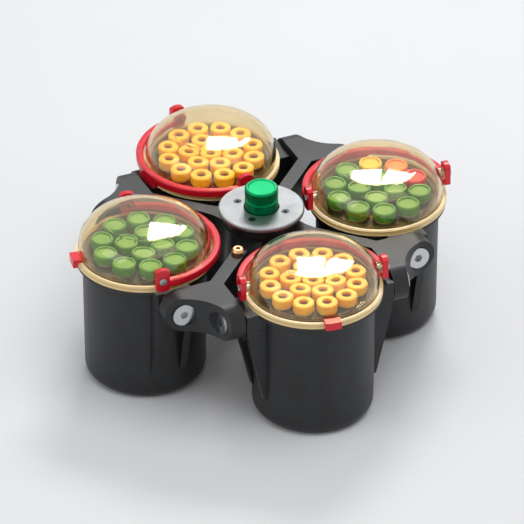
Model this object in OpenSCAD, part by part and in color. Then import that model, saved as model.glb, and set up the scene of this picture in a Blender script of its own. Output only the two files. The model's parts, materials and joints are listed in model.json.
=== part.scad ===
// Swing-out rotor for a benchtop centrifuge: a four-armed cross that carries four
// round buckets on trunnion pins, each bucket with a tube adapter, capped tubes and
// a clear domed lid with a fold-over bail.
//
// Origin: centre of the drive bore's mouth, in the hub's bottom face.
// +Z: up the spin axis. Buckets stand on +X, +Y, -X and -Y, arms on the diagonals.

/* [Layout] */
// Distance from the spin axis to each swing axis
swing_r = 87; // [86:0.5:92]
// Height of the swing axes above the hub's bottom face
swing_z = 22; // [20:0.5:24]

/* [Cross] */
// Radius of the hub at the bucket sides
hub_r = 26; // [25:0.5:27]
// Radius of the neck under the disc
neck_r = 25; // [23:0.5:25.5]
// Height of the neck above the arms
neck_h = 6.5; // [5.5:0.5:7.5]
// Width of an arm between two buckets
arm_w = 9.6; // [8:0.2:9.8]
// Distance from the spin axis at which the hub's fillets run out into an arm
arm_blend = 42.4; // [40:0.1:46]
// Gap between a bail and the cheek beside it
bay_clear = 3.1; // [3:0.1:4]
// Thickness of each cheek that holds a trunnion pin
cheek_t = 11; // [8:0.5:14]
// Radius of the cheek's round end about the trunnion pin
boss_r = 13; // [11:0.5:14]

/* [Trunnion pins] */
// Diameter of the pins that the buckets hang on
pin_d = 9; // [7:0.5:10]
// Length of pin that stands out of the cheek
pin_reach = 8; // [6:0.5:9]
// Diameter of the pin's head outside the cheek
pin_head_d = 16; // [13:0.5:20]
// Thickness of the pin's head
pin_head_t = 2.5; // [1.5:0.5:4]
// Running clearance between pin and bucket, on the radius
pin_clear = 0.05; // [0.02:0.01:0.1]

/* [Drive sleeve] */
// Diameter of the drive bore
bore_d = 22; // [18:0.5:23]
// Length of the plain bore below the locking groove
bore_len = 15; // [12:0.5:15]
// Width of the locking groove
groove_w = 2.5; // [1.5:0.5:3]
// Depth of the locking groove
groove_depth = 2; // [1:0.25:2.5]
// Depth of the whole bore up to the sleeve's inner shoulder
bore_depth = 20; // [19:0.5:21]
// Outer diameter of the sleeve
sleeve_d = 30; // [29:0.5:31]
// Thickness of the guide that the plunger slides in
guide_t = 4; // [3:0.5:5]
// Diameter of the sleeve's bottom flange
flange_d = 46; // [45:0.5:47]
// Thickness of the sleeve's bottom flange
flange_t = 4; // [3.5:0.5:5]

/* [Disc and button] */
// Diameter of the disc on top of the hub
disc_d = 59; // [54:0.5:60]
// Thickness of the disc at its middle
disc_t = 5; // [4:0.5:6]
// Thickness of the disc at its edge
disc_edge = 2.6; // [2:0.2:3.4]
// Diameter of the release button
button_d = 23; // [20:0.5:24]
// Height of the button above the disc
button_h = 16; // [14:0.5:18]
// Travel of the button when it is pressed
button_travel = 4; // [2:0.5:4.5]
// Gap between button and disc, on the radius
button_clear = 0.3; // [0.2:0.05:0.5]
// Depth of the grip groove around the button
grip_depth = 1.2; // [0.5:0.1:2]
// Diameter of the plunger under the button
plunger_d = 8; // [6:0.5:9]
// Wire diameter of the return spring
wire_d = 1.5; // [1:0.1:1.6]
// Mean diameter of the return spring
coil_d = 14; // [13:0.5:15]
// Turns of the return spring
coil_turns = 6; // [4:1:7]

/* [Buckets] */
// Outer diameter of a bucket under its rim
bucket_d = 85; // [84:0.5:85.5]
// How much smaller a bucket's radius is at its bottom
bucket_taper = 1; // [0.4:0.1:1.2]
// Rounding of a bucket's bottom edge
bucket_round = 9; // [6:0.5:11]
// Wall of a bucket under its rim
bucket_wall = 3; // [2.8:0.1:3.2]
// Thickness of a bucket's floor
floor_t = 4; // [3:0.5:6]
// Depth of a bucket's underside below the swing axis
bucket_deep = 84; // [80:0.5:92]
// Width of a bucket's rim flange
rim_w = 4.5; // [4:0.1:4.7]
// Height of the rim above the swing axis
rim_h = 8; // [7.5:0.25:8]
// Thickness of the rim flange
rim_t = 3.5; // [2.5:0.5:5]
// Width of the ears that ride on the trunnion pins
ear_w = 26; // [22:0.5:30]
// Gap between an ear and its cheek
ear_gap = 0.6; // [0.4:0.1:1]

/* [Adapters and tubes] */
// Gap between an adapter and its bucket, on the radius
adapter_clear = 0.3; // [0.2:0.05:0.5]
// Height of an adapter's top relative to the swing axis
adapter_top = 11; // [9:0.5:11.5]
// Height of the cap tops above the swing axis
cap_top = 18.5; // [18:0.5:21]
// Height of a cap
cap_h = 6.5; // [5.5:0.5:7]
// Thickness of a cap's roof
cap_roof = 2.6; // [2:0.2:3]
// Diameter of a narrow tube
narrow_tube_d = 12.6; // [11:0.2:12.8]
// Diameter of a narrow tube's cap
narrow_cap_d = 14.4; // [13.6:0.1:14.6]
// Diameter of a wide tube
wide_tube_d = 14.4; // [12:0.2:14.6]
// Diameter of a wide tube's cap
wide_cap_d = 16.2; // [15.8:0.1:16.4]
// Wall of a tube
tube_wall = 1; // [0.6:0.1:1.5]

/* [Lids] */
// Gap between a lid and its bucket's rim
lid_gap = 0.3; // [0.2:0.05:0.5]
// How far the lid's flange reaches out over the bucket's rim
lid_overhang = 0.6; // [0.4:0.1:0.8]
// Thickness of the lid's flange
lid_flange_t = 4; // [3.6:0.1:4.2]
// Width of the lid's flange outside the dome
flange_w = 2.3; // [2.2:0.1:3.4]
// Height of the dome's top above the swing axis
dome_top = 39; // [38.5:0.25:40]
// Radius of the dome's rounded shoulder
dome_shoulder = 21; // [19:0.5:21.5]
// Height from the shoulder's centre to the dome's top
dome_drop = 22.5; // [22:0.25:23.5]
// Wall of the dome
dome_wall = 2.5; // [1.8:0.1:3]
// Diameter of the seal's round section
seal_d = 3; // [2.4:0.1:3]
// Width of the thumb tab on a lid's outer edge
tab_w = 11; // [8:1:16]
// Thickness of the thumb tab above the lid's flange
tab_t = 2.4; // [1.6:0.2:3]
// How far each lid is turned on its bucket, in degrees
lid_turn = [-95, -85, -9, -8];

/* [Bails] */
// Height of the bail's pivots above the swing axis
bail_z = 19; // [18.5:0.25:19.25]
// Gap between the dome and the bail's half ring
bail_gap = 1.6; // [1.5:0.1:1.9]
// Radial width of the bail's half ring
bail_w = 5; // [4:0.1:5.2]
// Height of the bail's half ring
bail_t = 5.6; // [4.6:0.1:6]
// Radius of the rounded lug at each end of the bail
lug_r = 8.5; // [8:0.1:8.6]
// Width of a lug
lug_w = 9.6; // [9:0.2:9.8]
// Thickness of a lug
lug_t = 3.8; // [3:0.1:4]
// Diameter of the bail's pivot pins
bail_pin_d = 3.2; // [2.5:0.1:4]
// Running clearance of the bail on its pins, on the radius
bail_pin_clear = 0.08; // [0.03:0.01:0.1]
// Width of the lip in the middle of the bail
lip_w = 20; // [12:1:30]

/* [Hidden] */
$fn = 96;
BUCKETS = [1:4];
TABBED = [3, 4];                             // lids that carry a thumb tab

eps = 0.01;                                  // overrun of a cutting tool
diagonals = [45, 135, 225, 315];
arm_top = swing_z + boss_r;                  // level top of the cross's arms
arm_bottom = swing_z - boss_r;
hub_top = arm_top + neck_h;
disc_top = hub_top + disc_t;
pin_r = pin_d / 2;
sleeve_r = sleeve_d / 2;
button_r = button_d / 2;
collar_r = button_r + 2;                     // button collar that stays under the disc
chamber_r = collar_r + 0.6;                  // chamber in the hub that the collar slides in
collar_h = 3;
collar_z = hub_top - button_clear - collar_h;
spring_seat = bore_depth + guide_t;          // top of the plunger's guide
sleeve_top = collar_z - button_travel - button_clear;  // the pressed button's collar stops here
bucket_base_d = bucket_d - 2 * bucket_taper;
bucket_bore = bucket_d - 2 * bucket_wall;
rim_d = bucket_d + 2 * rim_w;
lid_d = rim_d + 2 * lid_overhang;
dome_d = lid_d - 2 * flange_w;
seal_ring_d = (bucket_bore + rim_d) / 2;
bail_in = dome_d / 2 + bail_gap;             // inner radius of the bail's half ring
bail_out = bail_in + bail_w;
head_in = bail_out + bay_clear;              // inner face of a cheek, from its bay's middle
washer_t = 0.8;
disc_screw_d = 3;
disc_screw_deep = 7;                         // how far the disc's screws reach into the hub
disc_screw_head_d = 5.6;
sleeve_screw_d = 4;
sleeve_screw_deep = 12;
plug_deep = 8;
spring_room_r = 9.6;                         // hollow for the spring in sleeve and button
button_top = disc_top + button_h;
button_roof = button_top - 13;               // where the spring pushes on the button
adapter_r = bucket_bore / 2 - adapter_clear;
bucket_floor = floor_t - bucket_deep;        // inside bottom of a bucket
ear_out = head_in - ear_gap;
lid_z = rim_h + lid_gap;                     // underside of the lid's flange
flange_top = lid_z + lid_flange_t;
spigot_r = bucket_bore / 2 - 0.4;            // lid rim that drops into the bucket's mouth
spigot_h = 3;
lid_inner_r = spigot_r - 1;
adapter_top_r = lid_inner_r - 2 * adapter_clear;   // adapter's top that stands up inside the lid
wide_ring_r = adapter_top_r - wide_cap_d / 2 - 0.4;          // outer ring of wide tubes
wide_core_r = wide_ring_r - wide_cap_d - 0.6;          // inner ring of wide tubes
narrow_ring_r = adapter_top_r - narrow_cap_d / 2 - 0.3;      // outer ring of narrow tubes
narrow_core_r = narrow_ring_r / 2;                     // inner ring of narrow tubes
bail_low = flange_top + 0.9;
lug_in = lid_d / 2 + 0.5;
boss_out = lug_in - 0.4;                     // outer face of the pivot boss on the dome
pivot_boss_r = 4.3;
disc_screw_r = button_r + 6;                 // pitch radius of the disc's screws
plug_r = 44;                                 // distance of the balance plug from the spin axis
plug_d = 9;
plug_angle = 225;                            // the arm that carries it
sleeve_screw_r = (sleeve_r + flange_d / 2) / 2;
tube_floor = bucket_floor + 4;               // where the tubes stand in an adapter

// A rounded rectangle with its corner at the origin
module round_rect(w, h, r) {
    translate([r, 0]) square([w - 2 * r, h]);
    translate([0, r]) square([w, h - 2 * r]);
    for (x = [r, w - r], y = [r, h - r]) translate([x, y]) circle(r);
}

// Screw along +Z with its head's underside at z = 0
module screw(shank_d, shank_l, head_d, head_h, socket_d) {
    difference() {
        union() {
            cylinder(d = head_d, h = head_h);
            translate([0, 0, -shank_l]) cylinder(d = shank_d, h = shank_l + eps);
        }
        translate([0, 0, head_h * 0.4]) cylinder(d = socket_d, h = head_h, $fn = 6);
    }
}

// Frame of bucket n: origin on its swing axis, x outwards, y along the axis, z up
module at_bucket(n) {
    rotate([0, 0, 90 * (n - 1)]) translate([swing_r, 0, swing_z]) children();
}

// Frame of lid n: its bail's pivots lie on y, its half ring on the -x side
module at_lid(n) {
    at_bucket(n) rotate([0, 0, lid_turn[n - 1]]) children();
}

// Both ends of an axis along y, each drawn along +Z from the axis's middle
module both_ends() {
    for (side = [0, 180]) rotate([0, 0, side]) rotate([-90, 0, 0]) children();
}

/* ---------- cross and hub ---------- */

// Outline of the hub and the four narrow arms, seen from above
module arms_plan() {
    scoop_x = arm_blend * sqrt(2);           // centre of the round scoop in each bucket bay
    scoop_r = arm_blend - arm_w / 2;
    circle(hub_r);
    difference() {
        rotate(45) square(2 * arm_blend, center = true);
        for (a = [0:90:270]) rotate(a) translate([scoop_x, 0]) circle(scoop_r);
    }
    for (a = diagonals) rotate(a) translate([0, -arm_w / 2]) square([(head_in + 4) * sqrt(2), arm_w]);
}

// Outline of one arm's head, between two bucket bays
module head_plan() {
    outer = swing_r + boss_r;
    difference() {
        translate([head_in, head_in]) square(outer - head_in);
        translate([outer, outer]) circle(outer - head_in - cheek_t);
    }
}

// Side view of one cheek, as x and height
module cheek_side() {
    translate([swing_r, swing_z]) circle(boss_r);
    translate([head_in - 1, arm_bottom]) square([swing_r - head_in + 1, 2 * boss_r]);
}

module arm_head() {
    intersection() {
        linear_extrude(arm_top + 1) head_plan();
        translate([0, 2 * swing_r, 0]) rotate([90, 0, 0]) linear_extrude(2 * swing_r) cheek_side();
        rotate([90, 0, 90]) linear_extrude(2 * swing_r) cheek_side();
    }
}

// The arms' height: deep at the hub, rising to the heads
module arms_side() {
    rotate_extrude() polygon([
        [0, 0], [hub_r + 2, 0], [head_in + 4, arm_bottom], [swing_r, arm_bottom],
        [swing_r, arm_top], [0, arm_top]
    ]);
}

// Round body in the middle that the arms grow out of
module hub_body() {
    color("#1b1c1e") difference() {
        union() {
            cylinder(r = hub_r, h = arm_top);
            cylinder(r = neck_r, h = hub_top);
        }
        translate([0, 0, -1]) cylinder(r = sleeve_r, h = sleeve_top + 1);
        translate([0, 0, -1]) cylinder(d = flange_d, h = flange_t + 1);
        translate([0, 0, sleeve_top - eps]) cylinder(r = chamber_r, h = hub_top);
        for (a = diagonals) rotate([0, 0, a])
            translate([disc_screw_r, 0, hub_top - disc_screw_deep - 1])
                cylinder(d = disc_screw_d, h = hub_top);
        for (a = [0:90:270]) rotate([0, 0, a])
            translate([sleeve_screw_r, 0, 0])
                cylinder(d = sleeve_screw_d, h = flange_t + sleeve_screw_deep + 1);
    }
}

module rotor_arms() {
    color("#1b1c1e") difference() {
        union() {
            intersection() {
                linear_extrude(arm_top) arms_plan();
                arms_side();
            }
            for (a = [0:90:270]) rotate([0, 0, a]) arm_head();
        }
        translate([0, 0, -1]) cylinder(r = hub_r, h = hub_top + 1);
        for (n = BUCKETS) at_bucket(n) both_ends() {
            cylinder(r = pin_r, h = swing_r);
            translate([0, 0, head_in + cheek_t]) cylinder(d = pin_head_d + 0.6, h = cheek_t);
        }
        rotate([0, 0, plug_angle]) translate([plug_r, 0, arm_top - plug_deep - 1])
            cylinder(d = plug_d * 0.6, h = plug_deep + 2);
    }
}

module trunnion_pins() {
    color("#c9ccd0") for (n = BUCKETS) at_bucket(n) both_ends() difference() {
        union() {
            translate([0, 0, head_in - pin_reach])
                cylinder(r = pin_r, h = pin_reach + cheek_t + eps);
            translate([0, 0, head_in + cheek_t]) cylinder(d = pin_head_d, h = pin_head_t);
        }
        translate([0, 0, head_in + cheek_t - 2]) cylinder(d = 6, h = 10, $fn = 6);
    }
}

module drive_sleeve() {
    bore_r = bore_d / 2;
    groove_top = bore_len + groove_w;
    color("#9a9da1") difference() {
        rotate_extrude() polygon([
            [bore_r + 1.5, 0], [flange_d / 2, 0], [flange_d / 2, flange_t], [sleeve_r, flange_t],
            [sleeve_r, bore_depth], [bore_r, bore_depth], [bore_r, groove_top],
            [bore_r + groove_depth, groove_top], [bore_r + groove_depth, bore_len],
            [bore_r, bore_len], [bore_r, 1.5]
        ]);
        for (a = [0:90:270]) rotate([0, 0, a]) translate([sleeve_screw_r, 0, 0]) {
            translate([0, 0, -1]) cylinder(d = sleeve_screw_d, h = flange_t + 2);
            translate([0, 0, -1]) cylinder(d = sleeve_screw_d * 1.5, h = flange_t);
        }
    }
}

// Bushing on top of the sleeve: guides the plunger and holds the spring
module plunger_guide() {
    guide_r = plunger_d / 2 + 0.08;
    color("#9a9da1") rotate_extrude() polygon([
        [guide_r, bore_depth], [sleeve_r, bore_depth], [sleeve_r, sleeve_top],
        [spring_room_r, sleeve_top], [spring_room_r, spring_seat], [guide_r, spring_seat]
    ]);
}

module sleeve_screws() {
    color("#8b8e92") for (a = [0:90:270]) rotate([0, 0, a])
        translate([sleeve_screw_r, 0, flange_t - 1]) rotate([180, 0, 0])
            screw(sleeve_screw_d, sleeve_screw_deep, sleeve_screw_d * 1.5, flange_t - 1.3, 3);
}

module hub_disc() {
    color("#c4c7ca") difference() {
        rotate_extrude() polygon([
            [button_r + button_clear, hub_top], [neck_r, hub_top],
            [disc_d / 2, disc_top - disc_edge], [disc_d / 2, disc_top - 0.8],
            [disc_d / 2 - 0.8, disc_top], [button_r + button_clear + 0.6, disc_top],
            [button_r + button_clear, disc_top - 0.6]
        ]);
        for (a = diagonals) rotate([0, 0, a]) translate([disc_screw_r, 0, 0]) {
            cylinder(d = disc_screw_d, h = 2 * disc_top);
            translate([0, 0, disc_top - 2]) cylinder(d = disc_screw_head_d, h = disc_t);
        }
    }
}

module disc_screws() {
    color("#55585c") for (a = diagonals) rotate([0, 0, a])
        translate([disc_screw_r, 0, disc_top - 2])
            screw(disc_screw_d, disc_t - 2 + disc_screw_deep, disc_screw_head_d, 1.8, 2.6);
}

// Brass balance plug, screwed into the top of one arm
module balance_plug() {
    head_r = plug_d / 2;
    color("#c9a27a") rotate([0, 0, plug_angle]) translate([plug_r, 0, arm_top]) difference() {
        rotate_extrude() polygon([
            [0, -plug_deep], [head_r * 0.6, -plug_deep], [head_r * 0.6, 0], [head_r, 0],
            [head_r, 2.4], [head_r * 0.72, 4], [0, 4]
        ]);
        translate([0, 0, 2.2]) cylinder(d = 3.6, h = 3, $fn = 6);
    }
}

module release_button() {
    grip_z = disc_top + button_h * 0.5;
    color("#2f9a5d") difference() {
        rotate_extrude() polygon([
            [spring_room_r, collar_z], [collar_r, collar_z], [collar_r, collar_z + collar_h],
            [button_r, collar_z + collar_h], [button_r, grip_z - 1.6],
            [button_r - grip_depth, grip_z - 0.8], [button_r - grip_depth, grip_z + 0.8],
            [button_r, grip_z + 1.6], [button_r, button_top - 1.2], [button_r - 1.2, button_top],
            [button_r - 2.2, button_top], [button_r - 2.8, button_top - 0.6], [0, button_top - 0.6],
            [0, button_roof], [spring_room_r, button_roof]
        ]);
        cylinder(d = plunger_d, h = button_roof + 6);
    }
}

module release_plunger() {
    color("#b5b8bb") rotate_extrude() polygon([
        [0, bore_depth + 0.2], [plunger_d / 2 - 1.5, bore_depth + 0.2],
        [plunger_d / 2, bore_depth + 1.7], [plunger_d / 2, button_roof + 6], [0, button_roof + 6]
    ]);
}

module spring_washer() {
    color("#a7aaad") translate([0, 0, spring_seat]) difference() {
        cylinder(r = spring_room_r - 0.2, h = washer_t);
        translate([0, 0, -1]) cylinder(d = plunger_d + 0.6, h = washer_t + 2);
    }
}

// Coil spring between the washer and the button's roof, its end turns closed
module return_spring() {
    sides = 8;
    per_turn = 20;
    steps = (coil_turns + 2) * per_turn;
    low = spring_seat + washer_t + wire_d / 2 + 0.1;
    high = button_roof - wire_d / 2 - 0.1;
    rise = high - low - 2 * wire_d;
    function height(i) =
        let (t = i / per_turn)
        t < 1 ? low + wire_d * t
        : t > coil_turns + 1 ? high - wire_d * (coil_turns + 2 - t)
        : low + wire_d + rise * (t - 1) / coil_turns;
    rings = [for (i = [0:steps]) let (a = 360 * i / per_turn) [
        for (k = [0:sides - 1]) let (b = 360 * k / sides, r = coil_d / 2 + wire_d / 2 * cos(b))
            [r * cos(a), r * sin(a), height(i) + wire_d / 2 * sin(b)]
    ]];
    skin = [for (i = [0:steps - 1], k = [0:sides - 1]) let (
        a = i * sides + k, b = i * sides + (k + 1) % sides
    ) [a, a + sides, b + sides, b]];
    color("#8f9296") polyhedron(
        points = [for (ring = rings) each ring],
        faces = concat(
            skin,
            [[for (k = [0:sides - 1]) k]],
            [[for (k = [sides - 1:-1:0]) steps * sides + k]]
        )
    );
}

/* ---------- buckets and what they hold ---------- */

// Ear outline across the swing axis: round below, level with the rim above
module ear_plan() {
    drop = 3;                                // the round end's centre lies below the axis
    translate([0, -drop]) circle(ear_w / 2);
    translate([-ear_w / 2, -drop]) square([ear_w, rim_h + drop]);
}

// Half section of a round-bottomed cylinder, from height low to height high
module round_floor(r, low, high) {
    corner_r = bucket_round - 2.5;
    translate([0, low + corner_r]) square([r, high - low - corner_r]);
    translate([0, low]) square([r - corner_r, corner_r + eps]);
    translate([r - corner_r, low + corner_r]) circle(corner_r);
}

module bucket(n) {
    round_r = bucket_round;
    base_r = bucket_base_d / 2;
    root = bucket_bore / 2 - 6;              // ears and ribs start inside the wall
    rib_low = -0.74 * bucket_deep;
    pin_room = head_in - pin_reach - 0.5;    // the notches stop short of the cup
    color("#26282b") at_bucket(n) difference() {
        union() {
            rotate_extrude() {
                polygon([
                    [0, -bucket_deep], [base_r - round_r, -bucket_deep],
                    [base_r, round_r - bucket_deep], [bucket_d / 2, rim_h - rim_t],
                    [rim_d / 2 - 0.8, rim_h - rim_t], [rim_d / 2, rim_h - rim_t + 0.8],
                    [rim_d / 2, rim_h], [0, rim_h]
                ]);
                translate([base_r - round_r, round_r - bucket_deep]) circle(round_r);
            }
            for (side = [0, 180]) rotate([0, 0, side]) {
                // ears
                intersection() {
                    translate([0, ear_out, 0]) rotate([90, 0, 0]) linear_extrude(ear_out - root) ear_plan();
                    translate([-ear_w / 2, 0, -bucket_deep]) cube([ear_w, ear_out, bucket_deep + rim_h]);
                }
                // two buttress ribs below each ear
                for (x = [-ear_w / 2, ear_w / 2 - 5]) translate([x, 0, 0]) rotate([90, 0, 90])
                    linear_extrude(5) polygon([
                        [root, -5], [ear_out, -5], [ear_out - 2, -16], [base_r, rib_low], [root, rib_low]
                    ]);
            }
        }
        rotate_extrude() round_floor(bucket_bore / 2, bucket_floor, 2 * rim_h);
        // notches, open below, that drop over the trunnion pins
        both_ends() translate([0, 0, pin_room]) {
            cylinder(r = pin_r + pin_clear, h = 20);
            translate([-(pin_r + pin_clear), 0, 0]) cube([pin_d + 2 * pin_clear, bucket_deep, 20]);
        }
        // shallow dish in the underside
        translate([0, 0, -bucket_deep - 1]) cylinder(d = bucket_base_d * 0.6, h = 2.2);
    }
}

// Places of the tubes in bucket n: 14 wide ones in two rings, or 19 narrow ones in two
// rings about a middle one
function is_wide(n) = n % 2 == 1;
function ring_places(r, count, turn) = [
    for (k = [0:count - 1]) let (a = turn + 360 * k / count) [r * cos(a), r * sin(a)]
];
function tube_places(n) = is_wide(n)
    ? concat(ring_places(wide_ring_r, 10, -33), ring_places(wide_core_r, 4, -27))
    : concat([[0, 0]], ring_places(narrow_core_r, 6, 1), ring_places(narrow_ring_r, 12, 24));
function tube_r(n) = (is_wide(n) ? wide_tube_d : narrow_tube_d) / 2;
function cap_r(n) = (is_wide(n) ? wide_cap_d : narrow_cap_d) / 2;
function cap_hole_r(n) = is_wide(n) ? 6.1 : 3.2;

module at_tubes(n) {
    at_bucket(n) for (p = tube_places(n)) translate([p.x, p.y, 0]) children();
}

// Half section of a cylinder, from height low to height high
module square_up(r, low, high) {
    translate([0, low]) square([r, high - low]);
}

module adapter(n) {
    color("#3a3d42") difference() {
        at_bucket(n) rotate_extrude() {
            round_floor(adapter_r, bucket_floor, lid_z - spigot_h - 1);
            square_up(adapter_top_r, lid_z - spigot_h - 2, adapter_top);
        }
        at_tubes(n) translate([0, 0, tube_floor]) cylinder(r = tube_r(n) + 0.35, h = 2 * bucket_deep);
    }
}

module tubes(n) {
    r = tube_r(n);
    top = cap_top - cap_roof;
    color("#d8dde0") at_tubes(n) difference() {
        union() {
            translate([0, 0, tube_floor + 0.3 + r]) {
                cylinder(r = r, h = top - tube_floor - 0.3 - r);
                sphere(r);
            }
        }
        translate([0, 0, tube_floor + 0.3 + r]) {
            cylinder(r = r - tube_wall, h = 2 * bucket_deep);
            sphere(r - tube_wall);
        }
    }
}

module stoppers(n) {
    stopper_r = tube_r(n) - tube_wall;
    neck = min(cap_hole_r(n), stopper_r) - 0.05;
    color(is_wide(n) ? "#4c8f3c" : "#6e1d18") at_tubes(n) {
        translate([0, 0, cap_top - cap_roof - 9]) cylinder(r = stopper_r, h = 9);
        translate([0, 0, cap_top - cap_roof - eps])
            cylinder(r = neck, h = cap_roof * (is_wide(n) ? 0.6 : 0.15));
    }
}

module caps(n) {
    r = cap_r(n);
    hole = cap_hole_r(n);
    color(is_wide(n) ? "#6fb14c" : "#f2b53a") at_tubes(n) rotate_extrude() polygon([
        [tube_r(n) + 0.03, cap_top - cap_h], [r - 0.3, cap_top - cap_h], [r, cap_top - cap_h + 0.3],
        [r, cap_top - 0.7], [r - 0.7, cap_top], [hole + 0.3, cap_top], [hole, cap_top - 0.3],
        [hole, cap_top - cap_roof + eps], [tube_r(n) + 0.03, cap_top - cap_roof + eps]
    ]);
}

/* ---------- lids ---------- */

// Half section of the dome, moved inwards by inset
module dome_section(inset) {
    outer = dome_d / 2 - inset;
    turn_x = dome_d / 2 - dome_shoulder;     // centre of the shoulder's arc
    turn_z = dome_top - dome_drop;
    // crown radius that runs smoothly into the shoulder
    crown_r = (pow(turn_x, 2) + pow(dome_drop, 2) - pow(dome_shoulder, 2))
        / (2 * (dome_drop - dome_shoulder));
    meet_x = turn_x * (1 + dome_shoulder / (crown_r - dome_shoulder)) - inset * turn_x / crown_r;
    translate([0, lid_z - spigot_h - 1]) square([outer, turn_z - lid_z + spigot_h + 1]);
    translate([turn_x, turn_z]) circle(dome_shoulder - inset);
    intersection() {
        translate([0, dome_top - crown_r]) circle(crown_r - inset, $fn = 720);
        translate([0, turn_z]) square([meet_x, dome_top]);
    }
}

module lid_dome(n) {
    seal_groove_w = seal_d + 0.2;
    color("#d9c487", 0.35) at_lid(n) difference() {
        union() {
            rotate_extrude() {
                intersection() {
                    dome_section(0);
                    translate([0, lid_z]) square([dome_d, dome_top]);
                }
                translate([0, lid_z]) square([lid_d / 2, lid_flange_t - 0.6]);
                translate([0, lid_z]) square([lid_d / 2 - 0.6, lid_flange_t]);
                translate([0, lid_z - spigot_h]) square([spigot_r, spigot_h + eps]);
            }
            both_ends() translate([0, -bail_z, dome_d / 2 - 6])
                cylinder(r = pivot_boss_r, h = boss_out - dome_d / 2 + 6);
        }
        rotate_extrude() {
            intersection() {
                dome_section(dome_wall);
                translate([0, flange_top]) square([dome_d, dome_top]);
            }
            translate([0, lid_z - spigot_h - 1]) square([lid_inner_r, lid_flange_t + spigot_h + 1 + eps]);
        }
        rotate_extrude() translate([seal_ring_d / 2 - seal_groove_w / 2, lid_z - eps])
            square([seal_groove_w, seal_d + 0.1]);
        both_ends() translate([0, -bail_z, dome_d / 2 - dome_wall + 0.8]) cylinder(d = bail_pin_d, h = 20);
    }
}

module lid_seal(n) {
    color("#1f1f20") at_lid(n) rotate_extrude()
        translate([seal_ring_d / 2, lid_z + seal_d / 2 + 0.05]) circle(seal_d / 2);
}

// Thumb tab on the lid's outer edge, opposite the bail's half ring
module lid_tab(n) {
    inner = dome_d / 2 + 0.2;
    reach = bail_out - 0.2;
    lip = lid_d / 2 + 0.6;
    top = flange_top + tab_t;
    color("#cf1f2b") at_lid(n) intersection() {
        rotate_extrude() {
            translate([inner, flange_top]) square([reach - inner, tab_t]);
            translate([lip, lid_z + 0.3]) round_rect(reach - lip, top - lid_z - 0.3, 0.8);
        }
        translate([0, -tab_w / 2, 0]) cube([reach + 1, tab_w, dome_top]);
    }
}

// One lug in the plane across the bail's axis
module lug_plan() {
    intersection() {
        circle(lug_r);
        square([lug_w, 2 * lug_r], center = true);
    }
}

module bail(n) {
    color("#e0202f") at_lid(n) difference() {
        union() {
            rotate([0, 0, 90]) rotate_extrude(angle = 180)
                translate([bail_in, bail_low]) round_rect(bail_w, bail_t, 1.2);
            both_ends() translate([0, -bail_z, lug_in]) linear_extrude(lug_t) lug_plan();
            // lip that clicks over the edge of the lid's flange
            intersection() {
                rotate_extrude() translate([lug_in, lid_z + 0.3])
                    round_rect(bail_out - lug_in, bail_low + bail_t - lid_z - 0.3, 0.8);
                translate([-bail_out - 1, -lip_w / 2, 0]) cube([bail_out, lip_w, dome_top]);
            }
        }
        both_ends() {
            translate([0, -bail_z, dome_d / 2 - 3])
                cylinder(r = pivot_boss_r + 0.6, h = lug_in - dome_d / 2 + 3);
            translate([0, -bail_z, 0]) cylinder(r = bail_pin_d / 2 + bail_pin_clear, h = 2 * bail_out);
        }
    }
}

module bail_pins(n) {
    inner = dome_d / 2 - dome_wall + 0.8;
    head_z = lug_in + lug_t + 0.2;
    color("#b9bcc0") at_lid(n) both_ends() translate([0, -bail_z, 0]) {
        translate([0, 0, inner]) cylinder(d = bail_pin_d, h = head_z - inner + eps);
        translate([0, 0, head_z]) cylinder(d = bail_pin_d + 2, h = 1);
    }
}

hub_body();
rotor_arms();
trunnion_pins();
drive_sleeve();
plunger_guide();
sleeve_screws();
hub_disc();
disc_screws();
balance_plug();
release_button();
release_plunger();
return_spring();
spring_washer();
for (n = BUCKETS) {
    bucket(n);
    adapter(n);
    tubes(n);
    stoppers(n);
    caps(n);
    lid_seal(n);
    lid_dome(n);
    bail(n);
    bail_pins(n);
}
for (n = TABBED) lid_tab(n);
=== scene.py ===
# %% [markdown]
# # A swing-out rotor, finished for rendering
# The model that is loaded here is a laboratory rotor: a black cross that carries four
# buckets full of capped tubes, each under a clear domed lid with a red bail. Its shapes
# and its moving bodies come ready made. This lesson gives every piece its finish, adds the
# fine forms that a maker's drawing leaves out, and sets up a plain studio.

# %% Load the frame
import json
import math

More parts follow.
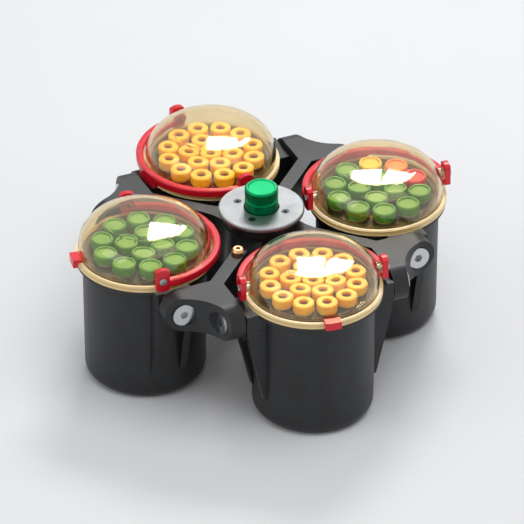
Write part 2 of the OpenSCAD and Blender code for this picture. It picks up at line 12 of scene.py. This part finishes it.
import bmesh
import bpy
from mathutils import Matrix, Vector


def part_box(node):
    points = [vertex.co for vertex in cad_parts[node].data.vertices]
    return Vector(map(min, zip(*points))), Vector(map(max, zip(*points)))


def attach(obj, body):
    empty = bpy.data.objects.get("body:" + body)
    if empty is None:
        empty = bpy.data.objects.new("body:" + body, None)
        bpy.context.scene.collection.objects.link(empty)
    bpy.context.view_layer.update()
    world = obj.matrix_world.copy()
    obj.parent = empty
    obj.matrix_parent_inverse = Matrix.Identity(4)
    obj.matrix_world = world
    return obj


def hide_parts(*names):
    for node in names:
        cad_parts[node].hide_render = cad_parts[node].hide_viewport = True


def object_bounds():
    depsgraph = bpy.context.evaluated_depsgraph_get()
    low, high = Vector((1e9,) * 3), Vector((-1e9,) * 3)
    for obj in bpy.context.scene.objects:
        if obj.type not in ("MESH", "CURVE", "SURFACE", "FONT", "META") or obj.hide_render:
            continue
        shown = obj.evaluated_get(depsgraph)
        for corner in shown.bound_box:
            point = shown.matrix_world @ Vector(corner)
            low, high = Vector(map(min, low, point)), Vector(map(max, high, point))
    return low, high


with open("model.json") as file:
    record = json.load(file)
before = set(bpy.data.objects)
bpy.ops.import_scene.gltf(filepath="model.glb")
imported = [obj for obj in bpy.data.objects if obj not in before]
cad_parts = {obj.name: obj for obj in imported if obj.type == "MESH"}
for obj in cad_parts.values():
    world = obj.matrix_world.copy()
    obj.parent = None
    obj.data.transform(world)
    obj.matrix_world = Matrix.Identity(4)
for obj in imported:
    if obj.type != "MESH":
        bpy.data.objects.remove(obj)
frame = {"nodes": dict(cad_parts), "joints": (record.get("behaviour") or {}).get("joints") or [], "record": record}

cad_low, cad_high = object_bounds()
MM = 0.001
print("CAD box in mm:", [round(v / MM, 1) for v in (*cad_low, *cad_high)])

# %% [markdown]
# The record says where each joint is. A bucket's swing joint lies on the bucket's own axis,
# so every place below is worked out from it and from the boxes of the nodes.

# %% Places taken from the frame
BUCKETS = (1, 2, 3, 4)
joints = {joint["name"]: joint for joint in frame["joints"]}
swing = {n: Vector(joints[f"bucket_{n}_swing"]["pos_m"]) for n in BUCKETS}
print("bucket 1 swings about", tuple(round(v / MM, 1) for v in swing[1]), "mm")

# %% [markdown]
# ## Camera
# A long lens from far away and well above shows near and far buckets at almost the same
# size. The camera is placed by its azimuth round the object, its elevation and its distance,
# and aimed at the middle of the rotor's box. Angles are easier to check than a position.

# %% Directions
def direction(azimuth, elevation):
    """The unit vector from the object to a place round it, from two angles in degrees."""
    a, e = math.radians(azimuth), math.radians(elevation)
    return Vector((math.sin(a) * math.cos(e), -math.cos(a) * math.cos(e), math.sin(e)))


def link(name, data):
    """A new object of the scene with this data."""
    made = bpy.data.objects.new(name, data)
    bpy.context.scene.collection.objects.link(made)
    return made


print("straight up is", tuple(round(v, 3) for v in direction(0, 90)))

# %% Camera
CAMERA_AZIMUTH, CAMERA_ELEVATION = -23.7, 33.3      # degrees
CAMERA_DISTANCE = 6.0                               # metres
LENS, SENSOR = 600.0, 36.0                          # mm

camera_data = bpy.data.cameras.new("camera")
camera_data.lens = LENS
camera_data.sensor_width = SENSOR
camera_data.clip_end = 50                          # metres
camera = link("camera", camera_data)
aim = (cad_low + cad_high) / 2
back = direction(CAMERA_AZIMUTH, CAMERA_ELEVATION)
camera.location = aim + back * CAMERA_DISTANCE
camera.rotation_mode = "QUATERNION"
camera.rotation_quaternion = (-back).to_track_quat("-Z", "Y")
bpy.context.scene.camera = camera
print("camera at", tuple(round(v, 2) for v in camera.location), "m")

# %% [markdown]
# ## Tools for materials
# Colours are written as sRGB hex values, the way a paint chart or a web page gives them.
# Shaders work in linear light, so one function turns a hex value into linear numbers.

# %% Colours
def linear(hex_colour):
    """An sRGB hex colour such as '#e0202f' as linear RGBA."""
    parts = [int(hex_colour[i:i + 2], 16) / 255 for i in (1, 3, 5)]
    rgb = [c / 12.92 if c <= 0.04045 else ((c + 0.055) / 1.055) ** 2.4 for c in parts]
    return (*rgb, 1.0)


print("mid grey in linear light:", round(linear("#808080")[0], 3))

# %% [markdown]
# One function adds a node with its settings and links. Naming the inputs keeps each
# material short enough to read at a glance, and a value may be a number or another node's
# output. Filling the inputs is a function of its own, for a shader that is already there.

# %% Nodes
def fill(tree, node, inputs):
    """Gives a node's inputs their values or links."""
    for name, value in inputs.items():
        if isinstance(value, bpy.types.NodeSocket):
            tree.links.new(value, node.inputs[name])
        else:
            node.inputs[name].default_value = value


def add(tree, kind, inputs=None, **settings):
    """Adds a node, sets its properties, then fills its inputs."""
    node = tree.nodes.new(kind)
    for name, value in settings.items():
        setattr(node, name, value)
    fill(tree, node, inputs or {})
    return node


def new_material(name):
    """A material that holds a Principled shader and its output, with their tree."""
    made = bpy.data.materials.new(name)
    made.use_nodes = True
    tree = made.node_tree
    tree.nodes.clear()
    shader = add(tree, "ShaderNodeBsdfPrincipled")
    output = add(tree, "ShaderNodeOutputMaterial", {"Surface": shader.outputs["BSDF"]})
    return made, tree, shader, output


print("materials that came with the model:", len(bpy.data.materials))

# %% [markdown]
# Patterns are laid out in object coordinates, which are metres here. They stay with a part
# as it moves. A noise is given by the real size of its features.

# %% Patterns in real sizes
def place(tree):
    """Object coordinates in metres, the same at every view and scale."""
    return add(tree, "ShaderNodeTexCoord").outputs["Object"]


def per_mm(size_mm):
    """Noise scale, in features per metre, for features of about this size."""
    return 1.0 / (size_mm * MM)


def noise(tree, where, size_mm, detail):
    """A noise with features of about this size."""
    return add(tree, "ShaderNodeTexNoise", {
        "Vector": where, "Scale": per_mm(size_mm), "Detail": detail}).outputs["Fac"]


def two_tone(tree, value, dark, light, start, end):
    """A colour that goes from dark to light as the value goes from start to end."""
    ramp = add(tree, "ShaderNodeValToRGB", {"Fac": value})
    for stop, position, colour in zip(ramp.color_ramp.elements, (start, end), (dark, light)):
        stop.position, stop.color = position, linear(colour)
    return ramp.outputs["Color"]


def spread(tree, value, low, high):
    """The value from 0 to 1, spread from low to high."""
    return add(tree, "ShaderNodeMapRange", {
        "Value": value, "To Min": low, "To Max": high}).outputs["Result"]


print("a 0.5 mm grain has scale", per_mm(0.5))

# %% [markdown]
# Every finish of the rotor also has a little relief. A bump is enough for it, because only
# forms that change an outline need real geometry. Its depth is the full swing of the height,
# and its strength says how much of that depth is used.

# %% Relief
def relief(tree, height, strength, depth_mm):
    """A bump from a height between 0 and 1, this deep in mm."""
    return add(tree, "ShaderNodeBump", {
        "Height": height, "Strength": strength, "Distance": depth_mm * MM}).outputs["Normal"]


def flat_place(tree):
    """The place on plan: object coordinates without their height."""
    return add(tree, "ShaderNodeVectorMath", {0: place(tree), 1: (1.0, 1.0, 0.0)},
               operation="MULTIPLY").outputs["Vector"]


print("a grain 0.1 mm deep at strength 0.18 uses", round(0.1 * 0.18, 3), "mm")

# %% [markdown]
# ## Metals and anodised aluminium
# Hard anodising leaves a nearly black layer of oxide on aluminium. It is a dielectric skin
# that hides the metal, so the cross looks dark and satin, with the fine texture of blasting.
# Full metallic with a dark colour would look like a tinted mirror instead.

# %% Hard-anodised aluminium: the cross
BLACK_OXIDE = "#0b0c0d"
BLAST_MM, PATCH_MM = 0.7, 22           # size of the blasted grit and of slow changes in sheen


def hard_anodised_black():
    """Blasted, hard-anodised aluminium: black, satin and slightly patchy."""
    made, tree, shader, _ = new_material("hard_anodised_black")
    where = place(tree)
    grit, patches = noise(tree, where, BLAST_MM, 4.0), noise(tree, where, PATCH_MM, 3.0)
    fill(tree, shader, {
        "Base Color": two_tone(tree, patches, BLACK_OXIDE, "#16181a", 0.35, 0.70),
        "Roughness": spread(tree, patches, 0.36, 0.52), "IOR": 1.5,
        "Normal": relief(tree, grit, 0.18, 0.1),
    })
    return made


print("black of the cross in linear light:", round(linear(BLACK_OXIDE)[0], 4))

# %% [markdown]
# A metal's colour is the colour of its reflection, so it keeps full metallic and the default
# index of refraction. Turned parts show rings round the spin axis. The distance from that
# axis is the only thing the pattern needs, so the rings are a sine of the radius, which stays
# exact at any size.

# %% Turned metals
TOOL_WEAR_MM = 6           # the shine changes slowly over this length


def turned_metal(name, colour, roughness, ring_mm):
    """A metal turned on a lathe about the spin axis, with rings ring_mm apart."""
    made, tree, shader, _ = new_material(name)
    radius = add(tree, "ShaderNodeVectorMath", {0: flat_place(tree)}, operation="LENGTH")
    turns = add(tree, "ShaderNodeMath", {
        0: radius.outputs["Value"], 1: 2 * math.pi * per_mm(ring_mm)}, operation="MULTIPLY")
    rings = add(tree, "ShaderNodeMath", {0: turns.outputs["Value"]}, operation="SINE")
    cloud = noise(tree, place(tree), TOOL_WEAR_MM, 3.0)
    fill(tree, shader, {
        "Base Color": linear(colour), "Metallic": 1.0, "Anisotropic": 0.3,
        "Roughness": spread(tree, cloud, roughness * 0.8, roughness * 1.25),
        "Normal": relief(tree, rings.outputs["Value"], 0.25, 0.02),
    })
    return made


print("turning marks 0.5 mm apart:", per_mm(0.5), "rings per metre")

# %% [markdown]
# Pins, screws and springs are ground or drawn. Their grain has no direction that shows at
# this size, so a fine noise in roughness and relief is enough.

# %% Ground and drawn metals
GROUND_GRAIN_MM = 0.35


def ground_metal(name, colour, roughness):
    """A metal ground or drawn, with a fine random grain."""
    made, tree, shader, _ = new_material(name)
    grain = noise(tree, place(tree), GROUND_GRAIN_MM, 3.0)
    fill(tree, shader, {
        "Base Color": linear(colour), "Metallic": 1.0,
        "Roughness": spread(tree, grain, roughness * 0.75, roughness * 1.3),
        "Normal": relief(tree, grain, 0.10, 0.05),
    })
    return made


print("grain of ground steel:", GROUND_GRAIN_MM, "mm")

# %% [markdown]
# ## Moulded plastics and rubber
# Plastic is a clear skin over a coloured body, so it is never metallic: its index of
# refraction, 1.46 to 1.6, gives the strength of its shine. Moulded parts keep the texture
# of their mould and vary a little in tone, which two noises of different size give. Thin
# caps also let some light inside, which softens their shadows.

# %% Moulded plastics
TONE_MM = 14                       # the tone drifts over this length
SCATTER_MM = (1.0, 0.6, 0.3)       # red light travels furthest inside a plastic


def moulded(name, dark, light, roughness, ior, grain_mm=0.5, grain=0.06, glow=0.0):
    """A moulded plastic or rubber: two close tones, mould texture, and some light inside."""
    made, tree, shader, _ = new_material(name)
    where = place(tree)
    tone, skin = noise(tree, where, TONE_MM, 2.0), noise(tree, where, grain_mm, 3.0)
    fill(tree, shader, {
        "Base Color": two_tone(tree, tone, dark, light, 0.35, 0.65), "IOR": ior,
        "Roughness": spread(tree, skin, roughness * 0.8, roughness * 1.2),
        "Normal": relief(tree, skin, grain, 0.1),
        "Subsurface Weight": glow, "Subsurface Radius": SCATTER_MM, "Subsurface Scale": MM,
    })
    return made


print("tones drift over", TONE_MM, "mm, and red light goes", SCATTER_MM[0], "mm deep")

# %% [markdown]
# ## The clear lids
# The lids are moulded in a tough, clear plastic that is naturally amber. It tints light by
# how far it travels inside: a wall seen straight on is nearly clear, and a rim seen along
# its length turns gold. That is absorption, so the colour belongs in a volume shader with a
# density per metre. Painting the surface gold would tint every part of it alike.
#
# The dome is polished, and the flange under it keeps the fine satin of its mould, so light
# gathers in the flange. Its cream band is partly that light and partly painted: the flange
# also gets a cream base colour, a painted sheen. The finish and the cream change with the
# height and with the distance from the lid's own axis. The lids stand at equal distances on
# X and Y, so with the signs of x and y dropped, two distances cover all four.

# %% Which part of a lid is the flange
SPIGOT, FLANGE, MARGIN = 3.0 * MM, 4.0 * MM, 0.1 * MM      # heights, from the lid's foot up
FLANGE_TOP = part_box("lid_dome_1")[0].z + SPIGOT + FLANGE + MARGIN
FLANGE_INSIDE = 44.3 * MM                                  # radius: inside it all is polished


def dome_or_flange(tree, where):
    """1 on the dome and inside it, 0 on the flange."""
    height = add(tree, "ShaderNodeSeparateXYZ", {"Vector": where})
    above = add(tree, "ShaderNodeMapRange", {
        "Value": height.outputs["Z"],
        "From Min": FLANGE_TOP - 0.2 * MM, "From Max": FLANGE_TOP + 0.3 * MM})
    folded = add(tree, "ShaderNodeVectorMath", {0: flat_place(tree)}, operation="ABSOLUTE")
    reach = swing[1].x          # from the spin axis to a lid's axis
    from_x, from_y = (
        add(tree, "ShaderNodeVectorMath", {
            0: folded.outputs["Vector"], 1: centre}, operation="DISTANCE")
        for centre in ((reach, 0.0, 0.0), (0.0, reach, 0.0)))
    radius = add(tree, "ShaderNodeMath", {
        0: from_x.outputs["Value"], 1: from_y.outputs["Value"]}, operation="MINIMUM")
    within = add(tree, "ShaderNodeMath", {
        0: radius.outputs["Value"], 1: FLANGE_INSIDE}, operation="LESS_THAN")
    dome = add(tree, "ShaderNodeMath", {
        0: above.outputs["Result"], 1: within.outputs["Value"]}, operation="MAXIMUM")
    return dome.outputs["Value"]


print("top of the lids' flange at", round(FLANGE_TOP / MM, 1), "mm")

# %% Clear amber plastic
AMBER = "#e8cb72"
AMBER_DENSITY = 90.0      # per metre
INSIDE_WAVE_MM, SMEAR_MM = 16, 30


def left_after(depth_mm):
    """The share of red, green and blue light that is left after this depth of plastic."""
    return [round(math.exp(-AMBER_DENSITY * (1 - c) * depth_mm * MM), 2) for c in linear(AMBER)[:3]]


def clear_amber():
    """Injection-moulded clear plastic: polished dome, satin flange with a painted cream sheen, amber in the depth.
    """
    made, tree, shader, output = new_material("clear_amber_lid")
    where = place(tree)
    dome = dome_or_flange(tree, where)
    wave, smear = noise(tree, where, INSIDE_WAVE_MM, 1.0), noise(tree, where, SMEAR_MM, 4.0)
    fill(tree, shader, {
        # painted sheen: the flange's cream base colour stands in for light gathered in its band; the dome is near
        # white
        "Base Color": two_tone(tree, dome, "#f0dca4", "#fff6dc", 0.0, 1.0),
        "Transmission Weight": spread(tree, dome, 0.5, 1.0), "IOR": 1.63,
        "Roughness": spread(tree, dome, 0.38, spread(tree, smear, 0.02, 0.07)),
        "Normal": relief(tree, wave, 0.10, 1.0),
    })
    tint = add(tree, "ShaderNodeVolumeAbsorption", {
        "Color": linear(AMBER), "Density": AMBER_DENSITY})
    tree.links.new(tint.outputs["Volume"], output.inputs["Volume"])
    return made


print("light left after a 2.5 mm wall:", left_after(2.5), "and along 40 mm of rim:", left_after(40))

# %% [markdown]
# ## Caps
# The caps in one rack are moulded in one colour, but a user mixes in others to mark a few
# samples. The mesh of a node is made of islands, one for each turned face of each cap, and
# all islands of one cap share its axis. So the axes can be read from the mesh, and the
# colour comes from the distance to an axis: one material serves a whole bucket.

# %% Where each cap stands
def islands(mesh):
    """Each connected part of a mesh, as a list of points."""
    waiting = set(mesh.verts)
    while waiting:
        front, island = [waiting.pop()], []
        while front:
            vertex = front.pop()
            island.append(vertex.co.copy())
            for edge in vertex.link_edges:
                other = edge.other_vert(vertex)
                if other in waiting:
                    waiting.remove(other)
                    front.append(other)
        yield island


def cap_axes(mesh_object):
    """The axis of each cap in a node, as a point on plan, in metres."""
    mesh = bmesh.new()
    mesh.from_mesh(mesh_object.data)
    found = set()
    for island in islands(mesh):
        found.add(tuple(
            round((min(point[k] for point in island) + max(point[k] for point in island)) / 2, 4)
            for k in range(2)))
    mesh.free()
    return [Vector((x, y, 0.0)) for x, y in sorted(found)]


caps = {n: cap_axes(frame["nodes"][f"caps_{n}"]) for n in BUCKETS}
print("caps in each bucket:", {n: len(caps[n]) for n in BUCKETS})

# %% [markdown]
# Three caps of the outer ring in one bucket are red, orange and yellow. Each is named by
# its angle round the bucket. The shader then swaps the colour inside a cap's own circle.

# %% Caps of another colour
MARKED = {3: "#d3202c", 39: "#f0831f", 75: "#eec21e"}      # degrees: colour
CAP_REACH = 8.3 * MM                                       # a little over a cap's radius


def mark_caps(made, axes, bucket_axis, colours):
    """Repaints the caps that stand at given angles round a bucket's axis."""
    tree = made.node_tree
    shader = next(node for node in tree.nodes if node.type == "BSDF_PRINCIPLED")
    colour = shader.inputs["Base Color"].links[0].from_socket
    where = flat_place(tree)
    ring = max((axis - bucket_axis).xy.length for axis in axes)
    for angle, hex_colour in colours.items():
        turn = math.radians(angle)
        spot = bucket_axis.xy + Vector((math.cos(turn), math.sin(turn))) * ring
        nearest = min(axes, key=lambda axis: (axis.xy - spot).length)
        away = add(tree, "ShaderNodeVectorMath", {
            0: where, 1: (nearest.x, nearest.y, 0.0)}, operation="DISTANCE")
        inside = add(tree, "ShaderNodeMath", {
            0: away.outputs["Value"], 1: CAP_REACH}, operation="LESS_THAN")
        mix = add(tree, "ShaderNodeMix", {
            "Factor": inside.outputs["Value"], 6: colour, 7: linear(hex_colour)}, data_type="RGBA")
        colour = mix.outputs[2]
    tree.links.new(colour, shader.inputs["Base Color"])


GREEN_CAP = ("#3d8524", "#509a33", 0.34, 1.49)
GREEN_STOPPER = ("#5c9632", "#6ea53c", 0.5, 1.5)
marked = {
    "caps_1": moulded("green_and_marked_caps", *GREEN_CAP, glow=0.15),
    "stoppers_1": moulded("green_and_marked_stoppers", *GREEN_STOPPER, glow=0.1),
}
for made in marked.values():
    mark_caps(made, caps[1], swing[1], MARKED)
print(len(MARKED), "caps of bucket 1 have another colour")

# %% [markdown]
# ## Dressing the model
# The record gives each node a material slot. One table turns the slot's name into a finish,
# so no node can be forgotten: a missing name would stop the script.

# %% Metals of the model
MATERIALS = {
    # cross: blasted and hard anodised, so black and satin
    "hard_anodised_black": hard_anodised_black(),
    # pins and plunger: centreless ground, so bright with soft-edged reflections
    "ground_steel": ground_metal("ground_steel", "#c6c8ca", 0.24),
    # sleeve, guide and washer: turned, so darker, with fine rings
    "machined_steel": turned_metal("machined_steel", "#8b8e92", 0.38, 0.5),
    # screws of the sleeve: zinc plated, so duller than the pins
    "screw_steel": ground_metal("screw_steel", "#8d9094", 0.36),
    # disc: turned, blasted and clear anodised, so grey with a wide, diffuse shine
    "clear_anodised_aluminium": turned_metal("clear_anodised_aluminium", "#929495", 0.48, 0.6),
    # screws of the disc: blackened, so they read as dark dots
    "dark_steel": ground_metal("dark_steel", "#4a4b4e", 0.40),
    # balance plug: turned and left bare, so warm and a little dull
    "brass_screw": ground_metal("brass_screw", "#cfa47c", 0.32),
    # button: dye under a clear oxide tints the metal's own reflection
    "green_anodised_aluminium": turned_metal("green_anodised_aluminium", "#0e8a54", 0.33, 0.5),
    # spring: drawn wire, so an even grey shine
    "spring_steel": ground_metal("spring_steel", "#8e9194", 0.30),
}
print(len(MATERIALS), "metals")

# %% Plastics of the model
MATERIALS.update({
    # buckets: glass-filled nylon, whose coarse skin gives a broad, dull shine
    "black_bucket": moulded("black_bucket", "#111214", "#191b1d", 0.44, 1.5,
                            grain_mm=0.8, grain=0.16),
    # racks: dark nylon, matt, so the caps stand out from it
    "dark_nylon": moulded("dark_nylon", "#241c17", "#30261f", 0.5, 1.53),
    # tubes: milky and glossy, with light inside
    "tube_plastic": moulded("tube_plastic", "#d9cfbf", "#e6dfd2", 0.2, 1.58, glow=0.3),
    # stoppers in the wells of the caps: rubber, so matt and flat in colour
    "green_stopper": moulded("green_stopper", *GREEN_STOPPER, glow=0.1),
    "red_stopper": moulded("red_stopper", "#4a1208", "#5e1a0c", 0.5, 1.52),
    # caps: polyethylene, waxy, with soft shadows
    "green_cap": moulded("green_cap", *GREEN_CAP, glow=0.15),
    "yellow_cap": moulded("yellow_cap", "#ffb814", "#ffc92f", 0.3, 1.49, glow=0.15),
    # seals: rubber, black and the dullest of all
    "seal_rubber": moulded("seal_rubber", "#161616", "#1e1e1e", 0.6, 1.52),
    # lids: clear, polished, golden where they are deep
    "clear_amber_lid": clear_amber(),
    # bails and tabs: moulded glossy, so they carry crisp highlights
    "red_plastic": moulded("red_plastic", "#d8142a", "#ea2131", 0.2, 1.49, glow=0.05),
})
print(len(MATERIALS), "finishes in all")

# %% [markdown]
# A path tracer seldom finds a lamp through a refracting lid, and the caps under it would stay
# in the dark. The lids therefore cast no shadow. They still bend, tint and mirror all that is
# seen through them.

# %% Dress every node of the model
slot_of = {part["node"]: part["material_slot"] for part in frame["record"]["subparts"]}
for name, node in frame["nodes"].items():
    node.data.materials.clear()
    node.data.materials.append(marked.get(name) or MATERIALS[slot_of[name]])
    if name.startswith("lid_dome"):
        node.visible_shadow = False
print(len(frame["nodes"]), "nodes dressed in", len(MATERIALS), "materials")

# %% [markdown]
# Nothing that is moulded or turned has a razor edge, and a rounded edge catches a line of
# light that makes a part look solid. A bevel modifier rounds only edges sharper than its
# angle limit, so the flat faces stay as they are. The pins of the bails share the first
# letters of the bails' name, but are left as they are.

# %% Rounded edges
EDGES_MM = {"caps": 0.7, "bail": 0.6, "lid_tab": 0.4, "release_button": 0.5, "hub_disc": 0.3}
SHARP = math.radians(50)
for name, node in frame["nodes"].items():
    kind = next((start for start in EDGES_MM if name.startswith(start)), None)
    if kind is None or name.startswith("bail_pins"):
        continue
    bevel = node.modifiers.new("rounded_edge", "BEVEL")
    bevel.width, bevel.segments = EDGES_MM[kind] * MM, 3
    bevel.limit_method, bevel.angle_limit = "ANGLE", SHARP
    bevel.harden_normals = True
print("rounded edges in mm:", EDGES_MM)

# %% [markdown]
# ## Screw caps with ribs
# The wide tubes have screw caps. A moulded screw cap has fine ribs round its wall for the
# fingers, a rounded upper edge and a raised rim round a shallow well. The maker's drawing
# gives them plain walls. Here each cap is turned from one closed section, and the section's
# outer points move in and out round the cap to make the ribs.

# %% Section of a screw cap
CAP_RADIUS = 8.1 * MM
CAP_HOLE = 6.1 * MM       # radius of the well
TUBE_RADIUS = 7.23 * MM   # the cap's inside fits round the tube
CAP_ROOF = 2.6 * MM       # depth of the well, down to the tube's mouth
RIM = 0.9 * MM            # height and width of the rounded upper edge


def cap_section(low, high):
    """Points (radius, height, share of the rib) round a cap's wall, counter-clockwise."""
    rib_low, rib_high = low + 0.9 * MM, high - 1.2 * MM
    wall = CAP_RADIUS - 0.05 * MM
    return [
        # inside edge and foot
        (TUBE_RADIUS, low, 0), (CAP_RADIUS - 0.3 * MM, low, 0), (wall, low + 0.25 * MM, 0),
        # ribbed wall
        (wall, rib_low, 0), (CAP_RADIUS, rib_low + 0.4 * MM, 1),
        (CAP_RADIUS, rib_high - 0.4 * MM, 1), (wall, rib_high, 0),
        # rounded upper edge
        (CAP_RADIUS - 0.12 * MM, high - RIM, 0),
        (CAP_RADIUS - 0.30 * MM, high - RIM + 0.35 * MM, 0),
        (CAP_RADIUS - 0.62 * MM, high - 0.12 * MM, 0), (CAP_RADIUS - RIM, high, 0),
        # rim and well
        (CAP_HOLE + 0.5 * MM, high, 0), (CAP_HOLE + 0.15 * MM, high - 0.12 * MM, 0),
        (CAP_HOLE, high - 0.5 * MM, 0), (CAP_HOLE, high - CAP_ROOF, 0),
        (TUBE_RADIUS, high - CAP_ROOF, 0),
    ]


print("points in the section:", len(cap_section(0.0, 6.5 * MM)))

# %% Turn one cap
RIBS, STEPS_PER_RIB = 24, 4
RIB_DEPTH = 0.35 * MM
TURN_STEPS = RIBS * STEPS_PER_RIB


def turn_cap(mesh, axis, section):
    """Adds one ribbed cap round an axis to a mesh."""
    rings = []
    for step in range(TURN_STEPS):
        angle = 2 * math.pi * step / TURN_STEPS
        dip = RIB_DEPTH * (0.5 - 0.5 * math.cos(2 * math.pi * step / STEPS_PER_RIB))
        rings.append([mesh.verts.new((
            axis.x + (radius - dip * share) * math.cos(angle),
            axis.y + (radius - dip * share) * math.sin(angle), z)) for radius, z, share in section])
    for step in range(TURN_STEPS):
        here, there = rings[step], rings[(step + 1) % TURN_STEPS]
        for k in range(len(section)):
            after = (k + 1) % len(section)
            mesh.faces.new((here[k], there[k], there[after], here[after]))


print("each cap is turned in", TURN_STEPS, "steps")

# %% [markdown]
# The mesh is shaded smooth, and weighted normals keep the flat rim flat. The caps ride on
# their bucket's body and take the place of the plain ones.

# %% Fill two buckets with screw caps
def screw_caps(name, axes, section):
    """One mesh that holds a ribbed cap at each axis."""
    mesh = bmesh.new()
    for axis in axes:
        turn_cap(mesh, axis, section)
    bmesh.ops.recalc_face_normals(mesh, faces=mesh.faces)
    data = bpy.data.meshes.new(name)
    mesh.to_mesh(data)
    mesh.free()
    for polygon in data.polygons:
        polygon.use_smooth = True
    piece = link(name, data)
    piece.modifiers.new("even_shading", "WEIGHTED_NORMAL").keep_sharp = True
    return piece


WIDE_TUBE_BUCKETS = (1, 3)
for n in WIDE_TUBE_BUCKETS:
    low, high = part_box(f"caps_{n}")
    piece = screw_caps(f"screw_caps_{n}", caps[n], cap_section(low.z, high.z))
    piece.data.materials.append(marked["caps_1"] if n == 1 else MATERIALS["green_cap"])
    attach(piece, f"bucket_body_{n}")
    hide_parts(f"caps_{n}")
print("screw caps:", sum(len(caps[n]) for n in WIDE_TUBE_BUCKETS), "with", RIBS, "ribs each")

# %% [markdown]
# ## Studio
# The rotor stands on a pale floor under a pale world. The floor has a faint mottle, like
# painted board, and takes the rotor's soft shadow.

# %% Floor
HALF_FLOOR = 6.0                        # metres
FLOOR_GAP = 0.2 * MM                    # just under the buckets
MOTTLES_PER_METRE = 6.0

floor_z = cad_low.z - FLOOR_GAP
floor_mesh = bpy.data.meshes.new("floor")
floor_mesh.from_pydata(
    [(x * HALF_FLOOR, y * HALF_FLOOR, floor_z) for x, y in ((-1, -1), (1, -1), (1, 1), (-1, 1))],
    [], [(0, 1, 2, 3)])
floor = link("floor", floor_mesh)
paint, tree, shader, output = new_material("studio_floor")
mottle = add(tree, "ShaderNodeTexNoise", {
    "Vector": place(tree), "Scale": MOTTLES_PER_METRE, "Detail": 2.0})
fill(tree, shader, {
    "Base Color": two_tone(tree, mottle.outputs["Fac"], "#e9eaeb", "#eeeff0", 0.0, 1.0),
    "Roughness": 0.7})
floor_mesh.materials.append(paint)
print("floor at", round(floor_z / MM, 1), "mm")

# %% [markdown]
# The lamps stand near the rotor, so a wide floor would darken towards the horizon in low
# views. Far from the rotor the floor therefore fades into the colour of the backdrop, as a
# paper sweep does in a studio, and only for rays that look at it: it lights nothing.

# %% Fade into the backdrop
BACKDROP = linear("#f5f6f7")
BACKDROP_STRENGTH = 0.95
SWEEP_START, SWEEP_END = 0.45, 1.6      # metres from the rotor's axis


def looked_at(tree):
    """1 for rays from the camera, mirrors and clear parts, 0 for rays that light things."""
    rays = add(tree, "ShaderNodeLightPath")
    seen = add(tree, "ShaderNodeMath", {
        0: rays.outputs["Is Camera Ray"],
        1: rays.outputs["Is Transmission Ray"]}, operation="MAXIMUM")
    shown = add(tree, "ShaderNodeMath", {
        0: seen.outputs["Value"], 1: rays.outputs["Is Glossy Ray"]}, operation="MAXIMUM")
    return shown.outputs["Value"]


away = add(tree, "ShaderNodeVectorMath", {0: place(tree)}, operation="LENGTH")
fade = add(tree, "ShaderNodeMapRange", {
    "Value": away.outputs["Value"], "From Min": SWEEP_START, "From Max": SWEEP_END},
    interpolation_type="SMOOTHSTEP")
far = add(tree, "ShaderNodeMath", {
    0: fade.outputs["Result"], 1: looked_at(tree)}, operation="MULTIPLY")
paper = add(tree, "ShaderNodeEmission", {"Color": BACKDROP, "Strength": BACKDROP_STRENGTH})
sweep = add(tree, "ShaderNodeMixShader", {
    0: far.outputs["Value"], 1: shader.outputs["BSDF"], 2: paper.outputs["Emission"]})
tree.links.new(sweep.outputs["Shader"], output.inputs["Surface"])
print("floor fades from", SWEEP_START, "to", SWEEP_END, "m")

# %% [markdown]
# The world has two faces: a modest light from all round, and the same backdrop wherever a
# ray looks at it. Raising the light itself would wash out the colours.

# %% World
WORLD_LIGHT = 0.38

world = bpy.data.worlds.new("studio")
bpy.context.scene.world = world
world.use_nodes = True
tree = world.node_tree
tree.nodes.clear()
light = add(tree, "ShaderNodeBackground", {"Color": linear("#f4f6fa"), "Strength": WORLD_LIGHT})
backdrop = add(tree, "ShaderNodeBackground", {"Color": BACKDROP, "Strength": BACKDROP_STRENGTH})
mixed = add(tree, "ShaderNodeMixShader", {
    0: looked_at(tree), 1: light.outputs["Background"], 2: backdrop.outputs["Background"]})
add(tree, "ShaderNodeOutputWorld", {"Surface": mixed.outputs["Shader"]})
print("light from all round:", WORLD_LIGHT)

# %% [markdown]
# Four soft lamps light the rotor. Two small, bright panes stand side by side behind it, where
# the flat crowns of the lids mirror them to the camera: they show as a window with a dark
# bar between its panes. A broad lamp overhead gives the main light. It is hidden from
# mirrors, because its reflection would veil the clear lids. One more fills from the left.

# %% Lamps
def softbox(name, azimuth, elevation, distance, width, height, watts):
    """An area lamp that faces the rotor, placed by angles in degrees and sizes in metres."""
    lamp = bpy.data.lights.new(name, "AREA")
    lamp.shape = "RECTANGLE"
    lamp.size, lamp.size_y = width, height
    lamp.energy = watts
    holder = link(name, lamp)
    towards = direction(azimuth, elevation)
    holder.location = aim + towards * distance
    holder.rotation_mode = "QUATERNION"
    holder.rotation_quaternion = towards.to_track_quat("Z", "Y")
    return holder


LAMPS = [
    # name, azimuth, elevation, distance, width, height, watts
    ("window_left_pane", 155, 46, 1.6, 0.19, 0.36, 3.4),
    ("window_right_pane", 141.5, 46, 1.6, 0.31, 0.36, 5.6),
    ("overhead_softbox", 20, 72, 1.6, 1.5, 1.2, 12),
    ("left_softbox", -85, 35, 1.9, 1.3, 0.9, 4.5),
]
lamps = {row[0]: softbox(*row) for row in LAMPS}
lamps["overhead_softbox"].visible_glossy = False
print("lamps:", list(lamps))

# %% [markdown]
# The Standard view shows each colour as it is written above.

# %% Standard view
bpy.context.scene.view_settings.view_transform = "Standard"
